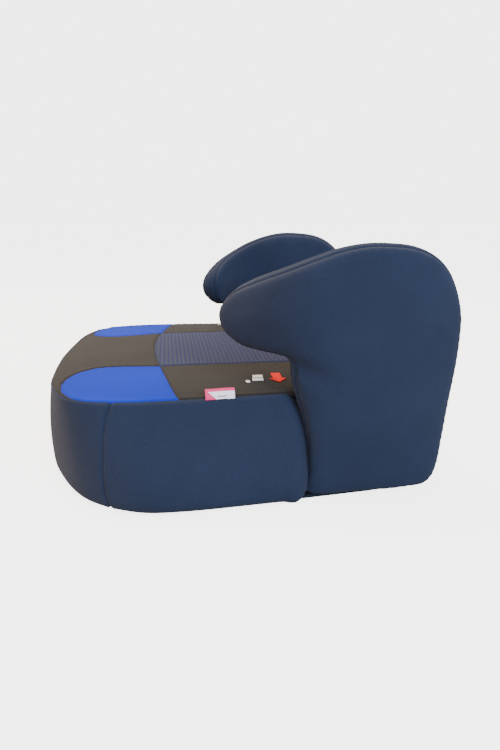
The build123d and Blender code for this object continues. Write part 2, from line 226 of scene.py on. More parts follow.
def inside(points, outline):
    """Which points lie inside an outline."""
    x, y = points[:, 0], points[:, 1]
    within = np.zeros(len(points), bool)
    for (x0, y0), (x1, y1) in zip(outline, np.roll(outline, -1, axis=0)):
        if y0 == y1:
            continue
        crosses = (y0 > y) != (y1 > y)
        within ^= crosses & (x < (x1 - x0) * (y - y0) / (y1 - y0) + x0)
    return within


def inward_of(outline):
    """The direction into a closed outline at each of its points."""
    turn = np.roll(outline, -1, axis=0) - np.roll(outline, 1, axis=0)
    x, y = outline[:, 0], outline[:, 1]
    area = 0.5 * np.sum(x * np.roll(y, -1) - np.roll(x, -1) * y)
    inward = np.stack([-turn[:, 1], turn[:, 0]], 1) * (1 if area > 0 else -1)
    return unit(inward)


def unit(vectors):
    return vectors / np.maximum(np.linalg.norm(vectors, axis=-1), 1e-9)[..., None]


# Surfaces ---------------------------------------------------------------------------------------------------

# The three plans have the same count of points, so that they blend point by point.
MIRROR = np.array([-1, 1])
WALL_COUNT = 700
FLOOR, BELLY, SEAM = [spread(smooth(plan, 1.0), WALL_COUNT) for plan in (FLOOR_PLAN, BELLY_PLAN, SEAM_PLAN)]
WALL_ALONG = lengths(BELLY)


def wall(uv):
    """The boxing: u is the way round the belly from the front's middle, positive on the left, v is height."""
    side = np.where(uv[:, 0] < 0, -1.0, 1.0)
    u = np.abs(uv[:, 0])
    z = uv[:, 1]
    floor, belly, seam = (
        np.stack([np.interp(u, WALL_ALONG, line[:, k]) for k in range(2)], 1) for line in (FLOOR, BELLY, SEAM)
    )
    low = ((z - BELLY_Z) * (z - SEAM_Z) / (BELLY_Z * SEAM_Z))[:, None]
    mid = (z * (z - SEAM_Z) / (BELLY_Z * (BELLY_Z - SEAM_Z)))[:, None]
    high = (z * (z - BELLY_Z) / (SEAM_Z * (SEAM_Z - BELLY_Z)))[:, None]
    xy = low * floor + mid * belly + high * seam
    turned = np.clip(FOOT_ROLL - z, 0, FOOT_ROLL)
    under = FOOT_ROLL - np.sqrt(FOOT_ROLL**2 - turned**2)
    xy = xy - under[:, None] * unit(xy)
    return np.stack([xy[:, 0] * side, xy[:, 1], z], 1)


def on_wall(line):
    """A line of Y and height on the left side, in the wall's own coordinates."""
    places = []
    for y, z in smooth(line):
        z = min(max(z, HEM_Z), SEAM_Z)
        reach = wall(np.stack([WALL_ALONG, np.full(WALL_COUNT, z)], 1))
        places.append((np.interp(y, reach[:, 1], WALL_ALONG), z))
    return np.array(places)


RIM = np.vstack([(SEAM * MIRROR)[:0:-1], SEAM])
RIM_FRONT = even(RIM[RIM[:, 1] < 100], 2.0)
RIM_LINE = even(RIM)


def cushion_height(xy):
    """Height of the seat's top: a broad dome that rolls down to the seams."""
    side = np.abs(xy[:, 0]) / HALF_WIDTH
    ahead = np.clip((FRONT_FALL_Y - xy[:, 1]) / FRONT_FALL_LENGTH, 0, 1)
    dome = CROWN_Z - SIDE_FALL * side**2 - FRONT_FALL * ahead**2
    roll = ROLL + FRONT_ROLL * np.clip(ahead * 1.6 - 0.5, 0, 1)
    near = np.clip(1 - distance(xy, RIM_FRONT) / roll, 0, 1) ** ROLL_POWER
    back = np.clip(1 - (REAR_Y - xy[:, 1]) / REAR_ROLL, 0, 1) ** ROLL_POWER
    beside = np.clip(1 - (SIDE_X - np.abs(xy[:, 0])) / TUCK_WIDTH, 0, 1)
    beside = beside * np.clip((xy[:, 1] - TUCK_FROM_Y) / 20, 0, 1)
    return dome - (dome - SEAM_Z) * np.maximum(near, back) - TUCK * beside**2


def cushion(xy):
    return np.column_stack([xy, cushion_height(xy)])


def arm_x(y):
    """X of the armrest's outside face: straight, bent inwards at the hook and a little at the rear."""
    ahead = np.maximum(0, ARM_STRAIGHT_Y - y)
    behind = np.maximum(0, y - ARM_STRAIGHT_Y)
    return ARM_X - HOOK_BEND * ahead**2 - REAR_BEND * behind**2


ARM_Y = np.linspace(-60, 240, 601)
ARM_ALONG = lengths(np.stack([ARM_Y, arm_x(ARM_Y)], 1))


def arm_s(y):
    """The way along the armrest's bend at a Y."""
    return np.interp(y, ARM_Y, ARM_ALONG)


def arm_slope(y):
    ahead = np.maximum(0, ARM_STRAIGHT_Y - y)
    behind = np.maximum(0, y - ARM_STRAIGHT_Y)
    return 2 * HOOK_BEND * ahead - 2 * REAR_BEND * behind


def arm_point(s, z, depth, side):
    """A point of the armrest: the way along its bend, its height, and its depth below the outside face.
    The side outline keeps its place from front to rear as it goes deeper, except near the hook's tip, which
    is cut square to the bend."""
    y = np.interp(s, ARM_ALONG, ARM_Y)
    reached = y + depth * HOOK_CUT * np.clip((40 - y) / 60, 0, 1) ** 2
    station = reached
    for _ in range(14):
        slope = arm_slope(station)
        station = reached - depth * slope / np.hypot(1, slope)
    flare = FOOT_FLARE * np.clip(1 - z / 45, 0, 1) * np.clip((y - 80) / 60, 0, 1)
    x = arm_x(station) - depth / np.hypot(1, arm_slope(station)) + flare
    return np.stack([side * x, reached, z], 1)


def unrolled(points):
    p = np.array(points, float)
    return np.stack([arm_s(p[:, 0]), p[:, 1]], 1)


OUTLINE = smooth(unrolled(ARM_OUTLINE), 2.4, closed=True)


def outline_depth(d):
    """How far the rounded edge of an armrest has turned away at a distance in from its outline."""
    reach = np.clip(ARM_ROUND - d, 0, ARM_ROUND)
    return ARM_ROUND - np.sqrt(ARM_ROUND**2 - reach**2)


def arm_bulge(d):
    """The padding's fullness, which grows away from the outline."""
    return ARM_BULGE * (1 - np.exp(-((d / ARM_BULGE_REACH) ** 2)))


def crook_fold(uv):
    """Depth of the fold under the hook."""
    along = uv[:, 0] - arm_s(CROOK[0])
    over = uv[:, 1] - CROOK[1]
    c, s = math.cos(CROOK_TURN), math.sin(CROOK_TURN)
    length, width = along * c + over * s, over * c - along * s
    reach = np.where(width > 0, CROOK_ABOVE, CROOK_BELOW)
    return CROOK_DEPTH * np.exp(-((length / CROOK_LENGTH) ** 2) - (width / reach) ** 2)


def arm_outer(side):
    def surface(uv):
        d = distance(uv, OUTLINE, closed=True)
        depth = outline_depth(d) - arm_bulge(d) + crook_fold(uv) * np.clip(d / 6, 0, 1)
        return arm_point(uv[:, 0], uv[:, 1], depth, side)

    return surface


def arm_inner(side):
    def surface(uv):
        d = distance(uv, OUTLINE, closed=True)
        return arm_point(uv[:, 0], uv[:, 1], ARM_THICK - outline_depth(d) + arm_bulge(d), side)

    return surface


# Sheets of cloth --------------------------------------------------------------------------------------------

# Waves of the cloth, which die away along its edge, and the puckers beside its seams.
WAVE_SIZE = 55.0
TOP_WAVE, TOP_SEED = 0.5, 4
CALM_EDGE = 10.0
PUCKER, PUCKER_AT = 0.16, 2.4
FOAM_SPACING, FOAM_RINGS = 9.0, (2.0, 5.0)


def fill(outline, spacing, rings=(0.5, 1.2, 2.2, 3.6, 5.6)):
    """Points and triangles that fill an outline, closer together along its edge."""
    inward = inward_of(outline)
    extra = []
    for ring in rings:
        moved = outline + inward * ring
        good = inside(moved, outline) & (distance(moved, outline, closed=True) > 0.93 * ring)
        extra.append(moved[good])
    low, high = outline.min(0), outline.max(0)
    xs = np.arange(low[0], high[0], spacing)
    ys = np.arange(low[1], high[1], spacing * 0.87)
    grid = np.stack(np.meshgrid(xs, ys), -1)
    grid[1::2, :, 0] += spacing / 2
    grid = grid.reshape(-1, 2)
    grid = grid[inside(grid, outline)]
    grid = grid[distance(grid, outline, closed=True) > rings[-1] + 0.55 * spacing]
    points = np.vstack([outline, *extra, grid])
    count = len(outline)
    edges = [(k, (k + 1) % count) for k in range(count)]
    found = delaunay_2d_cdt([Vector(p) for p in points], edges, [], 1, 1e-4)
    return np.array([tuple(v) for v in found[0]]), np.array(found[2])


def slopes(surface, uv, step=0.15):
    """A surface's normals."""
    du = surface(uv + [step, 0]) - surface(uv - [step, 0])
    dv = surface(uv + [0, step]) - surface(uv - [0, step])
    return unit(np.cross(du, dv))


def groove(d, depth, width):
    """A seam's shape across: a narrow valley with the cloth standing a little proud beside it."""
    return depth * (np.exp(-((d / width) ** 2)) - 0.22 * np.exp(-(((d - 2.4 * width) / width) ** 2)))


def rumple(points, size, height, seed):
    """Slow, uneven waves of cloth, as heights at points in millimetres."""
    shift = Vector((seed * 7.3, seed * 3.1, seed * 5.7))
    return np.array([height * noise.noise(Vector(p) / size + shift) for p in points])


def top_rumple(points):
    """The waves that every panel of the seat's top shares."""
    return rumple(points, WAVE_SIZE, TOP_WAVE, TOP_SEED)


def faced(faces, points, normals):
    """Faces turned the way that their points' normals go."""
    a, b, c = (points[faces[:, k]] for k in range(3))
    if np.sum(np.cross(b - a, c - a) * normals[faces[:, 0]]) < 0:
        return faces[:, ::-1]
    return faces


def grid_faces(rows, columns):
    """Faces over a grid of points, row by row."""
    starts = [r * columns + c for r in range(rows - 1) for c in range(columns - 1)]
    return np.array([(a, a + 1, a + columns + 1, a + columns) for a in starts])


def closed_faces(faces, count):
    """Faces of a front, of a back whose points follow the front's, and of the edge between the two."""
    edges = {(int(a), int(b)): 1 for f in faces for a, b in zip(f, np.roll(f, -1))}
    found = [tuple(int(i) for i in f) for f in faces]
    found += [tuple(int(i) + count for i in f[::-1]) for f in faces]
    return found + [(b, a, a + count, b + count) for a, b in edges if (b, a) not in edges]


def mesh_object(name, points, faces, uv):
    mesh = bpy.data.meshes.new(name)
    placed = (points - [0, MIDDLE_Y, 0]) * MM
    mesh.from_pydata([tuple(p) for p in placed], [], faces)
    mesh.validate()
    layer = mesh.uv_layers.new(name="flat")
    loops = np.zeros(len(mesh.loops), np.int32)
    mesh.loops.foreach_get("vertex_index", loops)
    layer.data.foreach_set("uv", (uv[loops] * MM).astype(np.float32).ravel())
    mesh.polygons.foreach_set("use_smooth", [True] * len(mesh.polygons))
    mesh.update()
    obj = bpy.data.objects.new(name, mesh)
    bpy.context.scene.collection.objects.link(obj)
    return obj


def closed_sheet(name, points, normal, faces, uv, thickness):
    """A sheet with a back and an edge, so that it is a closed solid."""
    both = np.vstack([points, points - normal * thickness])
    return mesh_object(name, both, closed_faces(faces, len(points)), np.vstack([uv, uv]))


def sheet(name, outline, surface, spacing, seams, outward, seed, wave=0.35):
    """A panel of cloth over a surface. Each seam is a line, a depth, a width and, if the panels on its two
    sides face different ways, the direction in which both are pulled."""
    uv, faces = fill(outline, spacing)
    points = surface(uv)
    normal = slopes(surface, uv)
    normal = normal * np.sign(np.sum(normal * outward(points), axis=1).mean())
    calm = np.clip(distance(uv, outline, closed=True) / CALM_EDGE, 0, 1)
    moved = points + normal * (rumple(points, WAVE_SIZE, wave, seed) * calm)[:, None]
    for line, depth, width, direction in seams:
        d = distance(uv, line)
        pull = normal if direction is None else direction(points, normal, d)
        moved = moved - pull * groove(d, depth, width)[:, None]
        pucker = PUCKER * np.exp(-((d - PUCKER_AT) ** 2) / 6.0) * np.sin(uv @ [0.62, 0.71] + seed)
        moved = moved + normal * pucker[:, None]
    return closed_sheet(name, moved, normal, faced(faces, points, normal), uv, SHEET)


def up(points):
    return np.tile([0.0, 0.0, 1.0], (len(points), 1))


def away(points):
    return unit(points * [1.0, 1.0, 0.0])


def sideways(side):
    return lambda points: np.tile([float(side), 0.0, 0.0], (len(points), 1))


def rim_pull(points, normal, d):
    """At the top seam both panels are pulled inwards and a little down, and elsewhere along their normal."""
    shared = away(points) * 0.8 + up(points) * 0.6
    near = np.exp(-((d / 3.0) ** 2))[:, None]
    return shared * near + normal * (1 - near)


# Materials --------------------------------------------------------------------------------------------------

KNIT_PITCH = 1.15
KNIT_RELIEF = 0.0004
CLOTH_SPECULAR = 0.12


def new_material(name):
    material = bpy.data.materials.new(name)
    material.use_nodes = True
    tree = material.node_tree
    return material, tree.nodes, tree.links, tree.nodes["Principled BSDF"]


def texture_space(nodes):
    """Places on the object, and on the flat cloth."""
    outputs = nodes.new("ShaderNodeTexCoord").outputs
    return outputs["Object"], outputs["UV"]


def math_node(nodes, links, operation, a, b=None):
    node = nodes.new("ShaderNodeMath")
    node.operation = operation
    for index, value in enumerate((a, b)):
        if value is None:
            continue
        if isinstance(value, (int, float)):
            node.inputs[index].default_value = value
        else:
            links.new(value, node.inputs[index])
    return node.outputs[0]


def noise_node(nodes, links, vector, scale, detail=3.0):
    node = nodes.new("ShaderNodeTexNoise")
    node.inputs["Scale"].default_value = scale
    node.inputs["Detail"].default_value = detail
    links.new(vector, node.inputs["Vector"])
    return node.outputs["Fac"]


def ramp_node(nodes, links, factor, stops):
    node = nodes.new("ShaderNodeValToRGB")
    while len(node.color_ramp.elements) < len(stops):
        node.color_ramp.elements.new(0.5)
    for element, (place, colour) in zip(node.color_ramp.elements, stops):
        element.position = place
        element.color = (*colour, 1)
    links.new(factor, node.inputs["Fac"])
    return node.outputs["Color"]


def mix_node(nodes, links, factor, a, b, blend="MIX"):
    node = nodes.new("ShaderNodeMix")
    node.data_type = "RGBA"
    node.blend_type = blend
    for socket, value in ((node.inputs[0], factor), (node.inputs[6], a), (node.inputs[7], b)):
        if isinstance(value, (int, float)):
            socket.default_value = value
        elif isinstance(value, tuple):
            socket.default_value = (*value, 1)
        else:
            links.new(value, socket)
    return node.outputs[2]


def shade(colour, amount):
    return tuple(max(0.0, min(1.0, c * amount)) for c in colour)


def greys(low, high):
    """The stops of a ramp between two greys, each a place and a level."""
    return [(place, (level,) * 3) for place, level in (low, high)]


def add_bump(nodes, links, shader, height, strength, relief):
    bump = nodes.new("ShaderNodeBump")
    bump.inputs["Strength"].default_value = strength
    bump.inputs["Distance"].default_value = relief
    links.new(height, bump.inputs["Height"])
    links.new(bump.outputs[0], shader.inputs["Normal"])


def knit_height(nodes, links, uv, pitch):
    """Height of a fine knit: columns of slanted loops."""
    split = nodes.new("ShaderNodeSeparateXYZ")
    links.new(uv, split.inputs[0])
    column = math_node(nodes, links, "MULTIPLY", split.outputs[0], math.pi / (pitch * MM))
    ridge = math_node(nodes, links, "ABSOLUTE", math_node(nodes, links, "SINE", column))
    slant = math_node(nodes, links, "MULTIPLY", math_node(nodes, links, "COSINE", column), 1.1)
    row = math_node(nodes, links, "MULTIPLY", split.outputs[1], 2 * math.pi / (pitch * 0.8 * MM))
    loop = math_node(nodes, links, "SINE", math_node(nodes, links, "ADD", row, slant))
    loop = math_node(nodes, links, "MULTIPLY_ADD", loop, 0.5)
    loop.node.inputs[2].default_value = 0.5
    return math_node(nodes, links, "MULTIPLY", ridge, loop)


def fabric(name, colour, sheen_tint=(1.0, 0.84, 0.66), pitch=KNIT_PITCH):
    """A fine knitted polyester: loops, uneven yarn, slow fading and a soft sheen at grazing angles."""
    material, nodes, links, shader = new_material(name)
    place, flat = texture_space(nodes)
    height = knit_height(nodes, links, flat, pitch)
    yarn = noise_node(nodes, links, place, 900.0, 2.0)
    cloud = noise_node(nodes, links, place, 14.0, 3.0)
    base = ramp_node(nodes, links, cloud, [(0.3, shade(colour, 0.9)), (0.7, shade(colour, 1.1))])
    speck = ramp_node(nodes, links, yarn, greys((0.3, 0.78), (0.7, 1.0)))
    mixed = mix_node(nodes, links, 1.0, base, speck, "MULTIPLY")
    loops = ramp_node(nodes, links, height, greys((0.0, 0.72), (0.8, 1.0)))
    mixed = mix_node(nodes, links, 0.7, mixed, loops, "MULTIPLY")
    links.new(mixed, shader.inputs["Base Color"])
    rough = ramp_node(nodes, links, yarn, greys((0.2, 0.78), (0.8, 0.92)))
    links.new(rough, shader.inputs["Roughness"])
    shader.inputs["Specular IOR Level"].default_value = CLOTH_SPECULAR
    shader.inputs["Sheen Weight"].default_value = 0.065
    shader.inputs["Sheen Roughness"].default_value = 0.45
    shader.inputs["Sheen Tint"].default_value = (*sheen_tint, 1)
    height = math_node(nodes, links, "ADD", height, math_node(nodes, links, "MULTIPLY", yarn, 0.6))
    add_bump(nodes, links, shader, height, 0.35, KNIT_RELIEF)
    return material


def ribbed_fabric(name, ridge, valley):
    """Ribbed knit: grey ridges and blue valleys that run across the seat."""
    material, nodes, links, shader = new_material(name)
    place, flat = texture_space(nodes)
    split = nodes.new("ShaderNodeSeparateXYZ")
    links.new(flat, split.inputs[0])
    turn = math_node(nodes, links, "MULTIPLY", split.outputs[1], 2 * math.pi / (RIB_PITCH * MM))
    stripe = math_node(nodes, links, "MULTIPLY_ADD", math_node(nodes, links, "COSINE", turn), 0.5)
    stripe.node.inputs[2].default_value = 0.5
    yarn = noise_node(nodes, links, place, 700.0, 2.0)
    colours = ramp_node(nodes, links, stripe, [(0.25, valley), (0.75, ridge)])
    speck = ramp_node(nodes, links, yarn, greys((0.3, 0.72), (0.7, 1.0)))
    links.new(mix_node(nodes, links, 1.0, colours, speck, "MULTIPLY"), shader.inputs["Base Color"])
    shader.inputs["Roughness"].default_value = 0.85
    shader.inputs["Specular IOR Level"].default_value = CLOTH_SPECULAR
    shader.inputs["Sheen Weight"].default_value = 0.08
    shader.inputs["Sheen Roughness"].default_value = 0.5
    add_bump(nodes, links, shader, knit_height(nodes, links, flat, KNIT_PITCH), 0.4, KNIT_RELIEF)
    return material


def moulded(name, colour, roughness=0.5):
    """Moulded plastic or rubber with a fine spark-eroded grain."""
    material, nodes, links, shader = new_material(name)
    place, _ = texture_space(nodes)
    fine = noise_node(nodes, links, place, 1600.0, 2.0)
    cloud = noise_node(nodes, links, place, 25.0, 3.0)
    colours = ramp_node(nodes, links, cloud, [(0.3, shade(colour, 0.88)), (0.7, shade(colour, 1.12))])
    links.new(colours, shader.inputs["Base Color"])
    rough = ramp_node(nodes, links, cloud, greys((0.2, roughness - 0.06), (0.8, roughness + 0.08)))
    links.new(rough, shader.inputs["Roughness"])
    add_bump(nodes, links, shader, fine, 0.25, 0.0002)
    return material


def foam_material(name):
    """Open-celled foam."""
    material, nodes, links, shader = new_material(name)
    voronoi = nodes.new("ShaderNodeTexVoronoi")
    voronoi.inputs["Scale"].default_value = 900.0
    links.new(texture_space(nodes)[0], voronoi.inputs["Vector"])
    cells = voronoi.outputs["Distance"]
    colours = ramp_node(nodes, links, cells, [(0.1, (0.30, 0.30, 0.28)), (0.6, (0.55, 0.55, 0.52))])
    links.new(colours, shader.inputs["Base Color"])
    shader.inputs["Roughness"].default_value = 0.95
    add_bump(nodes, links, shader, cells, 0.6, 0.0005)
    return material


def steel(name):
    material, nodes, links, shader = new_material(name)
    streak = noise_node(nodes, links, texture_space(nodes)[0], 500.0, 3.0)
    colours = ramp_node(nodes, links, streak, [(0.3, (0.5, 0.5, 0.52)), (0.7, (0.66, 0.66, 0.68))])
    links.new(colours, shader.inputs["Base Color"])
    rough = ramp_node(nodes, links, streak, greys((0.3, 0.28), (0.7, 0.42)))
    links.new(rough, shader.inputs["Roughness"])
    shader.inputs["Metallic"].default_value = 1.0
    return material


def label_material(name):
    """Satin label: pink with a pale slanted field, and three plain bars on it."""
    material, nodes, links, shader = new_material(name)
    place, flat = texture_space(nodes)
    split = nodes.new("ShaderNodeSeparateXYZ")
    links.new(flat, split.inputs[0])
    across, along = split.outputs[0], split.outputs[1]
    slant = math_node(nodes, links, "MULTIPLY_ADD", across, 0.9)
    links.new(along, slant.node.inputs[2])
    repeat = math_node(nodes, links, "PINGPONG", across, 1.8 * MM)

    def where(first, *others):
        """One where each of the comparisons holds."""
        both = math_node(nodes, links, first[1], first[0], first[2] * MM)
        for value, comparison, limit in others:
            met = math_node(nodes, links, comparison, value, limit * MM)
            both = math_node(nodes, links, "MULTIPLY", both, met)
        return both

    pale = where((slant, "GREATER_THAN", 10.5), (across, "LESS_THAN", 9.0))
    bars = where(
        (repeat, "LESS_THAN", 0.55),
        (along, "GREATER_THAN", 11.0),
        (along, "LESS_THAN", 20.0),
        (across, "LESS_THAN", 6.6),
    )
    colour = mix_node(nodes, links, pale, (0.72, 0.015, 0.15), (0.85, 0.74, 0.82))
    colour = mix_node(nodes, links, bars, colour, (0.08, 0.10, 0.16))
    thread = noise_node(nodes, links, place, 1500.0, 2.0)
    speck = ramp_node(nodes, links, thread, greys((0.3, 0.86), (0.7, 1.0)))
    links.new(mix_node(nodes, links, 1.0, colour, speck, "MULTIPLY"), shader.inputs["Base Color"])
    shader.inputs["Roughness"].default_value = 0.45
    return material


def printed(name, colour):
    """Rubbery transfer print that shows the knit under it."""
    material, nodes, links, shader = new_material(name)
    place, flat = texture_space(nodes)
    speck = noise_node(nodes, links, place, 1100.0, 2.0)
    colours = ramp_node(nodes, links, speck, [(0.3, shade(colour, 0.8)), (0.6, colour)])
    links.new(colours, shader.inputs["Base Color"])
    shader.inputs["Roughness"].default_value = 0.6
    shader.inputs["Specular IOR Level"].default_value = CLOTH_SPECULAR
    add_bump(nodes, links, shader, knit_height(nodes, links, flat, KNIT_PITCH), 0.3, 0.0003)
    return material


NAVY = (0.0205, 0.0298, 0.062)
BROWN = (0.0228, 0.0204, 0.0188)
BLUE = (0.002, 0.022, 0.43)
MATERIALS = {
    "navy_fabric": fabric("navy_fabric", NAVY),
    "brown_fabric": fabric("brown_fabric", BROWN),
    "blue_fabric": fabric("blue_fabric", BLUE, sheen_tint=(0.4, 0.6, 1.0)),
    "ribbed_fabric": ribbed_fabric("ribbed_fabric", (0.021, 0.025, 0.054), (0.006, 0.010, 0.062)),
    "hem_fabric": fabric("hem_fabric", shade(NAVY, 0.7)),
    "elastic": fabric("elastic", (0.05, 0.05, 0.05), pitch=0.8),
    "foam": foam_material("foam"),
    "moulded_plastic": moulded("moulded_plastic", (0.014, 0.014, 0.016)),
    "core_plastic": moulded("core_plastic", (0.05, 0.05, 0.054)),
    "rubber": moulded("rubber", (0.02, 0.02, 0.02), roughness=0.75),
    "steel": steel("steel"),
    "label_fabric": label_material("label_fabric"),
    "red_print": printed("red_print", (0.80, 0.010, 0.001)),
    "white_print": printed("white_print", (0.75, 0.74, 0.72)),
}

SLOT_OF = {s["node"]: s["material_slot"] for s in frame["record"]["subparts"]}
for node, obj in frame["nodes"].items():
    obj.data.materials.clear()
    obj.data.materials.append(MATERIALS[SLOT_OF[node]])


def dress(obj, slot, nodes):
    """A finished piece rides on the seat, takes its material, and stands for its CAD nodes."""
    obj.data.materials.append(MATERIALS[slot])
    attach(obj, "root")
    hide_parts(*nodes)


# Boxing -----------------------------------------------------------------------------------------------------

SEAM_LINE = on_wall(FRONT_SEAM)
END_LINE = on_wall(BOXING_END)


def boxing_panels():
    low, high = SEAM_LINE[0], SEAM_LINE[-1]
    rim = straight(high * MIRROR, high)
    foot = straight(low * MIRROR, low)
    outline = polygon(foot, SEAM_LINE, rim[::-1], (SEAM_LINE * MIRROR)[::-1])
    seams = [
        (rim, RIM_DEPTH, RIM_WIDTH, rim_pull),
        (SEAM_LINE, SEAM_DEPTH, SEAM_WIDTH, None),
        (SEAM_LINE * MIRROR, SEAM_DEPTH, SEAM_WIDTH, None),
    ]
    obj = sheet("cover_front_boxing_cloth", outline, wall, 5.0, seams, away, seed=1)
    dress(obj, "navy_fabric", ["cover_front_boxing"])
    rim = straight(high, END_LINE[-1])
    foot = straight(low, END_LINE[0])
    outline = polygon(foot, END_LINE, rim[::-1], SEAM_LINE[::-1])
    for side, name in ((1, "left"), (-1, "right")):
        flip = np.array([side, 1])
        seams = [
            (rim * flip, RIM_DEPTH, RIM_WIDTH, rim_pull),
            (SEAM_LINE * flip, SEAM_DEPTH, SEAM_WIDTH, None),
            (END_LINE * flip, END_DEPTH, END_WIDTH, None),
        ]
        panel = f"cover_side_boxing_{name}"
        obj = sheet(f"{panel}_cloth", outline * flip, wall, 5.0, seams, away, seed=2)
        dress(obj, "navy_fabric", [panel])


def rear_wall(uv):
    """The rear boxing: flat, with a rounded corner that goes forwards into each armrest."""
    beyond = np.clip(np.abs(uv[:, 0]) - REAR_FLAT, 0, None) / REAR_CORNER
    x = np.sign(uv[:, 0]) * (np.minimum(np.abs(uv[:, 0]), REAR_FLAT) + REAR_CORNER * np.sin(beyond))
    full = np.clip(1 - ((uv[:, 1] - 50) / 49) ** 2, 0, 1) * np.clip(1 - (uv[:, 0] / 180) ** 4, 0, 1)
    y = REAR_Y - REAR_INSET - REAR_CORNER * (1 - np.cos(beyond)) + REAR_BULGE * full
    return np.stack([x, y, uv[:, 1]], 1)


def rear_panel():
    half = REAR_FLAT + 1.4 * REAR_CORNER
    corners = [(-half, HEM_Z), (half, HEM_Z), (half, SEAM_Z), (-half, SEAM_Z)]
    outline = polygon(*(straight(a, b) for a, b in zip(corners, corners[1:] + corners[:1])))
    seams = [
        (straight((-half, SEAM_Z), (half, SEAM_Z)), RIM_DEPTH, RIM_WIDTH, rim_pull),
        (straight((-half, HEM_Z), (half, HEM_Z)), 3.0, 4.0, None),
    ]
    obj = sheet("cover_rear_boxing_cloth", outline, rear_wall, 6.0, seams, away, seed=3)
    dress(obj, "navy_fabric", ["cover_rear_boxing"])


def hem():
    """The cover's edge, turned in under the tray and gathered by its elastic."""
    corner = smooth([FLOOR_PLAN[-1], (197, 158), (184, 178), (166, REAR_Y)], 3.0)
    half = np.vstack([even(FLOOR, 3.0), corner[1:], straight((162, REAR_Y), (3, REAR_Y), 3.0)])
    loop = even_loop(np.vstack([half, (half * MIRROR)[::-1]]), 3.0)
    inward = inward_of(loop)
    count = len(loop)
    gather = np.sin(np.arange(count) * 2.1) + 0.6 * np.sin(np.arange(count) * 0.83)
    rows, flat = [], []
    for k, share in enumerate(np.linspace(0, 1, 9)):
        at = loop + inward * (HEM_START + (HEM_END - HEM_START) * share)
        z = HEM_Z + 0.25 * share * gather + 0.3
        rows.append(np.column_stack([at, z]))
        flat.append(np.column_stack([np.full(count, share * (HEM_END - HEM_START)), np.arange(count) * 3.0]))
    points = np.vstack(rows)
    faces = []
    for r in range(len(rows) - 1):
        for c in range(count):
            after = (c + 1) % count
            faces.append((r * count + c, r * count + after, (r + 1) * count + after, (r + 1) * count + c))
    faces = faced(np.array(faces), points, -up(points))
    obj = closed_sheet("cover_hem_cloth", points, -up(points), faces, np.vstack(flat), HEM_THICK)
    dress(obj, "hem_fabric", ["cover_hem"])


# Seat top ---------------------------------------------------------------------------------------------------

PATCH_INSIDE = [(RIBBED_X, RIBBED_Y), (87.5, -97), (84, -118), (84, -138), (93, -155)]
PATCH_INSIDE += [(108, -165.5), (127, -170)]
PATCH_FRONT = [(127, -170), (145, -168), (160, -163)]
PATCH_RIM_Y = -150.0
PATCH_REAR_RIM_Y = -58.0
BAND_END_Y = 50.0
PATCH_REAR = [(RIBBED_X, RIBBED_Y), (137, -69), (178, -62)]


def rim_between(y0, y1):
    """The left rim between two Y values, from front to back."""
    line = even(SEAM)
    return line[(line[:, 1] > y0) & (line[:, 1] < y1) & (line[:, 0] > 150)]


def ribbed_front(x):
    """Y of the bowed seam in front of the ribbed panel."""
    return RIBBED_Y - RIBBED_BOW * (1 - (x / RIBBED_X) ** 2)


def on_rim(y):
    return (float(np.interp(y, SEAM[:, 1], SEAM[:, 0])), y)


def top_panels():
    inner_line = smooth(PATCH_INSIDE)
    patch_front = smooth(PATCH_FRONT + [on_rim(PATCH_RIM_Y)])
    rear_line = smooth(PATCH_REAR + [on_rim(PATCH_REAR_RIM_Y)])
    bow = np.array([(x, ribbed_front(x)) for x in np.linspace(-RIBBED_X, RIBBED_X, 74)])
    rim_front = even(RIM[RIM[:, 1] < PATCH_RIM_Y])
    seam_lines = [inner_line, patch_front, rear_line]
    panel_seam = (TOP_DEPTH, TOP_WIDTH, None)
    rim_seam = (RIM_DEPTH, RIM_WIDTH, rim_pull)

    left_edge = np.vstack([inner_line, patch_front[1:]])
    front_panel = polygon(bow, left_edge, rim_front[::-1], (left_edge * MIRROR)[::-1])
    seams = [(line, *panel_seam) for line in (bow, left_edge, left_edge * MIRROR)]
    seams.append((RIM_LINE, *rim_seam))
    obj = sheet("cover_top_front_cloth", front_panel, cushion, 4.5, seams, up, TOP_SEED, TOP_WAVE)
    dress(obj, "brown_fabric", ["cover_top_front"])

    side_line = straight((SIDE_X, BAND_END_Y + 4), (SIDE_X, REAR_Y))
    for side, name in ((1, "left"), (-1, "right")):
        flip = np.array([side, 1])
        patch_rim = rim_between(PATCH_RIM_Y, PATCH_REAR_RIM_Y)
        patch = polygon(inner_line[::-1], rear_line, patch_rim[::-1], patch_front[::-1]) * flip
        seams = [(line * flip, *panel_seam) for line in seam_lines]
        seams.append((RIM_LINE, *rim_seam))
        panel = f"cover_front_patch_{name}"
        obj = sheet(f"{panel}_cloth", patch, cushion, 4.0, seams, up, TOP_SEED, TOP_WAVE)
        dress(obj, "blue_fabric", [panel])

        band = polygon(
            rear_line,
            rim_between(PATCH_REAR_RIM_Y, BAND_END_Y),
            straight(on_rim(BAND_END_Y), (SIDE_X, BAND_END_Y + 4)),
            side_line,
            straight((SIDE_X, REAR_Y), (RIBBED_X, REAR_Y)),
            straight((RIBBED_X, REAR_Y), (RIBBED_X, RIBBED_Y)),
        )
        seams = [
            (rear_line * flip, *panel_seam),
            (straight((RIBBED_X, REAR_Y), (RIBBED_X, RIBBED_Y)) * flip, *panel_seam),
            (even(RIM[RIM[:, 1] < BAND_END_Y + 6]), *rim_seam),
            (straight((-SIDE_X, REAR_Y), (SIDE_X, REAR_Y)), *rim_seam),
        ]
        panel = f"cover_side_band_{name}"
        obj = sheet(f"{panel}_cloth", band * flip, cushion, 4.5, seams, up, TOP_SEED, TOP_WAVE)
        dress(obj, "brown_fabric", [panel])


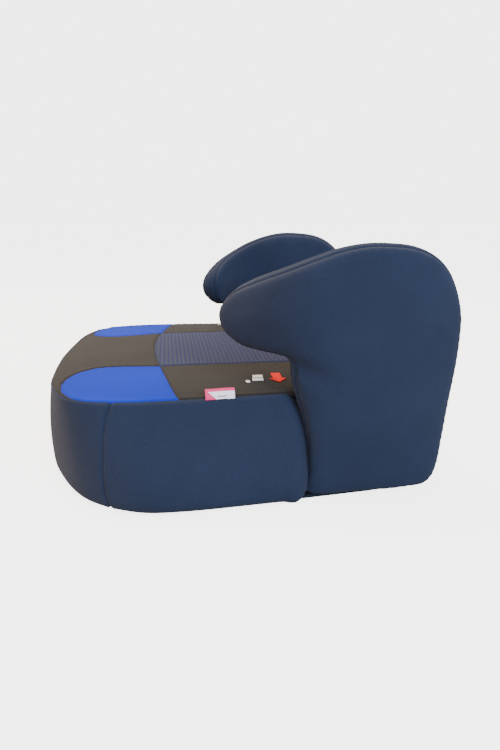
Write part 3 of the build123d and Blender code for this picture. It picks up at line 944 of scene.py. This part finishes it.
def ribbed_panel():
    """The ribbed panel is a grid, fine enough along Y to hold its ribs."""
    edge = np.array([86, 88, 89.5, 90.4, RIBBED_X])
    across = np.concatenate([-edge[::-1], np.linspace(-82, 82, 35), edge])
    x, t = np.meshgrid(across, np.linspace(0, 1, RIB_ROWS))
    front = ribbed_front(x)
    y = front + (REAR_Y - front) * t
    uv = np.stack([x, y], -1).reshape(-1, 2)
    points = cushion(uv)
    normal = slopes(cushion, uv)
    normal *= np.sign(normal[:, 2:3])
    inset = np.minimum(uv[:, 1] - front.ravel(), REAR_Y - uv[:, 1])
    inset = np.minimum(inset, RIBBED_X - np.abs(uv[:, 0]))
    swell = np.clip(inset / 3.0, 0, 1)
    rib = RIB_HEIGHT * np.abs(np.cos(math.pi * uv[:, 1] / RIB_PITCH)) ** 0.8
    moved = points + normal * ((rib - 0.3) * swell + top_rumple(points))[:, None]
    moved = moved - normal * groove(np.maximum(inset, 0), TOP_DEPTH, TOP_WIDTH)[:, None]
    faces = grid_faces(RIB_ROWS, len(across))
    obj = closed_sheet("cover_ribbed_panel_cloth", moved, normal, faces, uv, SHEET)
    dress(obj, "ribbed_fabric", ["cover_ribbed_panel"])


# Armrests ---------------------------------------------------------------------------------------------------

SEAM_INSET = ARM_ROUND * (1 - math.sin(ARM_SEAM_ANGLE))
INNER_FROM_Z = 96.0
INNER_FOOT = (178.0, 5.0)
GUSSET_END = (164.0, 2.0)


def shrink(outline, amount, step=2.4):
    """An outline drawn in, without the loops that sharp corners would leave."""
    moved = outline + inward_of(outline) * amount
    return even_loop(moved[distance(moved, outline, closed=True) > 0.96 * amount], step)


def gusset_rows():
    """Across the gusset, from the outer seam over the armrest's edge to the inner seam: inset and depth."""
    rows = []
    for angle in np.linspace(ARM_SEAM_ANGLE, math.pi / 2, 6):
        rows.append((ARM_ROUND * (1 - math.sin(angle)), ARM_ROUND * (1 - math.cos(angle))))
    for share in np.linspace(0, 1, 8)[1:-1]:
        rows.append((-1.0 * math.sin(math.pi * share), ARM_ROUND + share * (ARM_THICK - 2 * ARM_ROUND)))
    for inset, depth in rows[5::-1]:
        rows.append((inset, ARM_THICK - depth))
    return rows


def nearest(line, y, z):
    """Index of the point of an armrest's line that is nearest to a Y and a height."""
    return np.argmin(np.hypot(line[:, 0] - arm_s(y), line[:, 1] - z))


def gusset(side, name):
    """The strip over the armrest's edge, from the foot of its front round the hook to its rear foot."""
    last = nearest(OUTLINE, *GUSSET_END)
    line = OUTLINE[: last + 1]
    inward = inward_of(OUTLINE)[: last + 1]
    rows = gusset_rows()
    count = len(line)
    strip, flat = [], []
    along = lengths(line)
    width = 0.0
    for index, (inset, depth) in enumerate(rows):
        if index:
            width += math.hypot(inset - rows[index - 1][0], depth - rows[index - 1][1])
        at = line + inward * inset
        strip.append(arm_point(at[:, 0], at[:, 1], np.full(count, depth), side))
        flat.append(np.stack([np.full(count, width), along], 1))
    strip = np.array(strip)
    normal = unit(np.cross(np.gradient(strip, axis=0), np.gradient(strip, axis=1)))
    middle = len(rows) // 2
    outward = arm_point(*(line - inward * 5).T, np.full(count, ARM_THICK / 2), side) - strip[middle]
    if np.sum(normal[middle] * outward) < 0:
        normal = -normal
    flat = np.array(flat)
    across_way = np.minimum(flat[..., 0], width - flat[..., 0])
    strip = strip - normal * groove(across_way, ARM_SEAM_DEPTH, ARM_SEAM_WIDTH)[..., None]
    waves = rumple(strip.reshape(-1, 3), 30, 0.35, 8).reshape(strip.shape[:2])
    strip = strip + normal * (waves * np.clip(across_way / 5, 0, 1))[..., None]
    points, normals = strip.reshape(-1, 3), normal.reshape(-1, 3)
    faces = faced(grid_faces(len(rows), count), points, normals)
    panel = f"cover_armrest_gusset_{name}"
    obj = closed_sheet(f"{panel}_cloth", points, normals, faces, flat.reshape(-1, 2), SHEET)
    dress(obj, "navy_fabric", [panel])


def armrests():
    edge = shrink(OUTLINE, SEAM_INSET)
    outer = polygon(edge)
    start = np.argmax(edge[:, 1] > INNER_FROM_Z)
    above = edge[start : nearest(edge, *INNER_FOOT) + 1]
    behind = arm_s(REAR_Y - 14)
    inner = polygon(
        above,
        straight(above[-1], (behind, INNER_FOOT[1]), 3.0),
        straight((behind, INNER_FOOT[1]), (behind, INNER_FROM_Z), 3.0),
        straight((behind, INNER_FROM_Z), above[0], 3.0),
    )
    for side, name in ((1, "left"), (-1, "right")):
        for part, outline, surface, line, outward, seed in (
            ("outer", outer, arm_outer(side), np.vstack([edge, edge[:1]]), side, 9),
            ("inner", inner, arm_inner(side), above, -side, 11),
        ):
            panel = f"cover_armrest_{part}_{name}"
            seams = [(line, ARM_SEAM_DEPTH, ARM_SEAM_WIDTH, None)]
            obj = sheet(f"{panel}_cloth", outline, surface, 5.0, seams, sideways(outward), seed, 0.8)
            dress(obj, "navy_fabric", [panel])
        gusset(side, name)
        foam_pillow(side, name)


def foam_pillow(side, name):
    """The foam over the armrest's core: rounded outside, with the core's hollow inside."""
    points, flat, all_faces = [], [], []
    start = 0
    for inset, turned in ((FOAM_INSET, False), (FOAM_INSET + FOAM_WALL, True)):
        outline = shrink(OUTLINE, inset, 5.0)
        uv, faces = fill(outline, FOAM_SPACING, FOAM_RINGS)
        d = distance(uv, outline, closed=True)
        reach = np.clip(FOAM_ROUND - d, 0, FOAM_ROUND)
        depth = FOAM_ROUND - np.sqrt(FOAM_ROUND**2 - reach**2) + inset
        front = arm_point(uv[:, 0], uv[:, 1], depth + crook_fold(uv), side)
        back = arm_point(uv[:, 0], uv[:, 1], ARM_THICK - depth, side)
        piece = closed_faces(faced(faces, front, sideways(side)(front)), len(front))
        if turned:
            piece = [f[::-1] for f in piece]
        all_faces += [tuple(i + start for i in f) for f in piece]
        points += [front, back]
        flat += [uv, uv]
        start += 2 * len(front)
    obj = mesh_object(f"armrest_foam_{name}_pad", np.vstack(points), all_faces, np.vstack(flat))
    dress(obj, "foam", [f"armrest_foam_{name}"])


def seat_pad():
    """The seat's foam: crowned above, flat on the tray's deck."""
    rim = even(RIM, 5.0)
    rim = rim[rim[:, 1] < 38]
    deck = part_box("seat_foam")[0].z / MM
    half, rear = SIDE_X - 14, REAR_Y - 8
    outline = polygon(rim * 0.975, [(half, 44), (half, rear), (-half, rear), (-half, 44)])
    uv, faces = fill(even_loop(outline, 5.0), FOAM_SPACING, FOAM_RINGS)
    top = cushion(uv)
    top[:, 2] -= FOAM_INSET
    base = np.column_stack([uv, np.full(len(uv), deck)])
    faces = closed_faces(faced(faces, top, up(top)), len(top))
    obj = mesh_object("seat_foam_pad", np.vstack([top, base]), faces, np.vstack([uv, uv]))
    dress(obj, "foam", ["seat_foam"])


# Label and printed marks ------------------------------------------------------------------------------------

LABEL_Y = (-35.0, -8.0)
LABEL_WIDTH, LABEL_LENGTH, LABEL_THICK = 12.0, 27.0, 0.6
MARK_LIFT, MARK_THICK = 0.45, 0.3
ARROW = [(0, 0), (11, 8.8), (11, 4.6), (27, 4.6), (27, -4.6), (11, -4.6), (11, -8.8)]
ARROW_TIP = (160.0, 39.0)
BARS = [
    [(137.5, 15.5), (145, 14.5), (145, 25.0), (137.5, 25.5)],
    [(147, 14.0), (154.5, 13.0), (154.5, 24.0), (147, 24.5)],
    [(152.5, 6.5), (159, 6.5), (159, 10.5), (152.5, 10.5)],
]


def mark(name, corners):
    """A printed mark that lies on the seat's top."""
    uv, faces = fill(even_loop(corners, 1.5), 3.0, rings=(0.6,))
    points = cushion(uv)
    normal = slopes(cushion, uv)
    normal *= np.sign(normal[:, 2:3])
    faces = faced(faces, points, normal)
    rise = MARK_LIFT + MARK_THICK + top_rumple(points)
    return closed_sheet(name, points + normal * rise[:, None], normal, faces, uv, MARK_THICK)


def label():
    """The label stands up from the left rim seam, leaning on the cushion."""
    count_u, count_v = 12, 24
    points, flat = [], []
    for u in np.linspace(0, 1, count_u):
        for v in np.linspace(0, 1, count_v):
            y = LABEL_Y[0] + v * (LABEL_Y[1] - LABEL_Y[0])
            curl = 0.5 * math.sin(7.0 * v) * u
            points.append((on_rim(y)[0] + 1.3 - 5.0 * u**1.3 + curl, y, SEAM_Z - 1.8 + 9.0 * u))
            flat.append((u * LABEL_WIDTH, v * LABEL_LENGTH))
    points = np.array(points)
    normal = np.tile([0.93, 0.0, 0.37], (len(points), 1))
    faces = faced(grid_faces(count_u, count_v), points, normal)
    obj = closed_sheet("sewn_label_cloth", points, normal, faces, np.array(flat), LABEL_THICK)
    dress(obj, "label_fabric", ["sewn_label"])


def marks():
    for side, name in ((1, "left"), (-1, "right")):
        flip = np.array([side, 1])
        corners = np.array([(ARROW_TIP[0] - x, ARROW_TIP[1] + y) for x, y in ARROW])
        dress(mark(f"belt_arrow_{name}_print", corners * flip), "red_print", [f"belt_arrow_{name}"])
        pieces = [mark(f"belt_marks_{name}_print", np.array(bar) * flip) for bar in BARS]
        for obj in bpy.context.selected_objects:
            obj.select_set(False)
        for obj in pieces:
            obj.select_set(True)
        bpy.context.view_layer.objects.active = pieces[0]
        bpy.ops.object.join()
        dress(pieces[0], "white_print", [f"belt_marks_{name}"])


# Room -------------------------------------------------------------------------------------------------------

CAMERA_AT = (680.8 * MM, -64.1 * MM, 253.7 * MM)
CAMERA_YAW = math.radians(8.083)
CAMERA_PITCH = math.radians(15.2)
CAMERA_ROLL = math.radians(0.127)
CAMERA_LENS = 27.43
FLOOR_HALF = 40.0
FLOOR_GLOW = 3.7
WORLD_LIGHT = 1.4
WORLD_GLOW = 3.0


def room():
    """Three lamps, and a pale floor and world with no horizon between them. The camera sees both brighter
    than they light the seat."""
    mesh = bpy.data.meshes.new("floor")
    half = FLOOR_HALF
    corners = [(-half, -half, 0), (half, -half, 0), (half, half, 0), (-half, half, 0)]
    mesh.from_pydata(corners, [], [(0, 1, 2, 3)])
    floor = bpy.data.objects.new("floor", mesh)
    bpy.context.scene.collection.objects.link(floor)
    material, nodes, links, shader = new_material("floor")
    shader.inputs["Base Color"].default_value = (0.5, 0.49, 0.48, 1)
    shader.inputs["Roughness"].default_value = 0.95
    shader.inputs["Specular IOR Level"].default_value = 0.0
    shader.inputs["Emission Color"].default_value = (1, 1, 1, 1)
    seen = nodes.new("ShaderNodeLightPath").outputs["Is Camera Ray"]
    links.new(math_node(nodes, links, "MULTIPLY", seen, FLOOR_GLOW), shader.inputs["Emission Strength"])
    mesh.materials.append(material)

    world = bpy.data.worlds.new("studio")
    bpy.context.scene.world = world
    world.use_nodes = True
    nodes, links = world.node_tree.nodes, world.node_tree.links
    nodes["Background"].inputs[0].default_value = (1.0, 0.99, 0.98, 1)
    seen = nodes.new("ShaderNodeLightPath").outputs["Is Camera Ray"]
    bright = math_node(nodes, links, "MULTIPLY_ADD", seen, WORLD_GLOW)
    bright.node.inputs[2].default_value = WORLD_LIGHT
    links.new(bright, nodes["Background"].inputs[1])

    for name, place, aim, size, power, colour in (
        ("key", (-0.5, -0.6, 1.8), (0, 0, 0.1), 1.2, 56.0, (1.0, 0.76, 0.50)),
        ("front", (0.35, -1.9, 0.8), (0, -0.1, 0.1), 0.9, 9.0, (1.0, 0.64, 0.34)),
        ("side", (1.7, 1.0, 1.0), (0.1, 0.05, 0.1), 1.1, 46.0, (0.52, 0.74, 1.0)),
    ):
        data = bpy.data.lights.new(name, "AREA")
        data.size = size
        data.energy = power
        data.color = colour
        lamp = bpy.data.objects.new(name, data)
        lamp.location = place
        lamp.rotation_euler = (Vector(aim) - Vector(place)).to_track_quat("-Z", "Y").to_euler()
        bpy.context.scene.collection.objects.link(lamp)


def camera():
    """Looks from the seat's left, a little down and towards the rear."""
    data = bpy.data.cameras.new("camera")
    data.lens = CAMERA_LENS
    data.sensor_width = 36.0
    obj = bpy.data.objects.new("camera", data)
    forward, right, top = Vector((-1, 0, 0)), Vector((0, 1, 0)), Vector((0, 0, 1))
    c, s = math.cos(CAMERA_YAW), math.sin(CAMERA_YAW)
    forward, right = forward * c + right * s, right * c - forward * s
    c, s = math.cos(CAMERA_PITCH), math.sin(CAMERA_PITCH)
    forward, top = forward * c - top * s, top * c + forward * s
    c, s = math.cos(CAMERA_ROLL), math.sin(CAMERA_ROLL)
    right, top = right * c + top * s, top * c - right * s
    basis = [right, top, -forward]
    turned = Matrix(basis).transposed().to_4x4()
    obj.matrix_world = Matrix.Translation(Vector(CAMERA_AT) - Vector((0, MIDDLE_Y * MM, 0))) @ turned
    bpy.context.scene.collection.objects.link(obj)
    bpy.context.scene.camera = obj


room()
camera()
boxing_panels()
rear_panel()
hem()
top_panels()
ribbed_panel()
armrests()
seat_pad()
label()
marks()
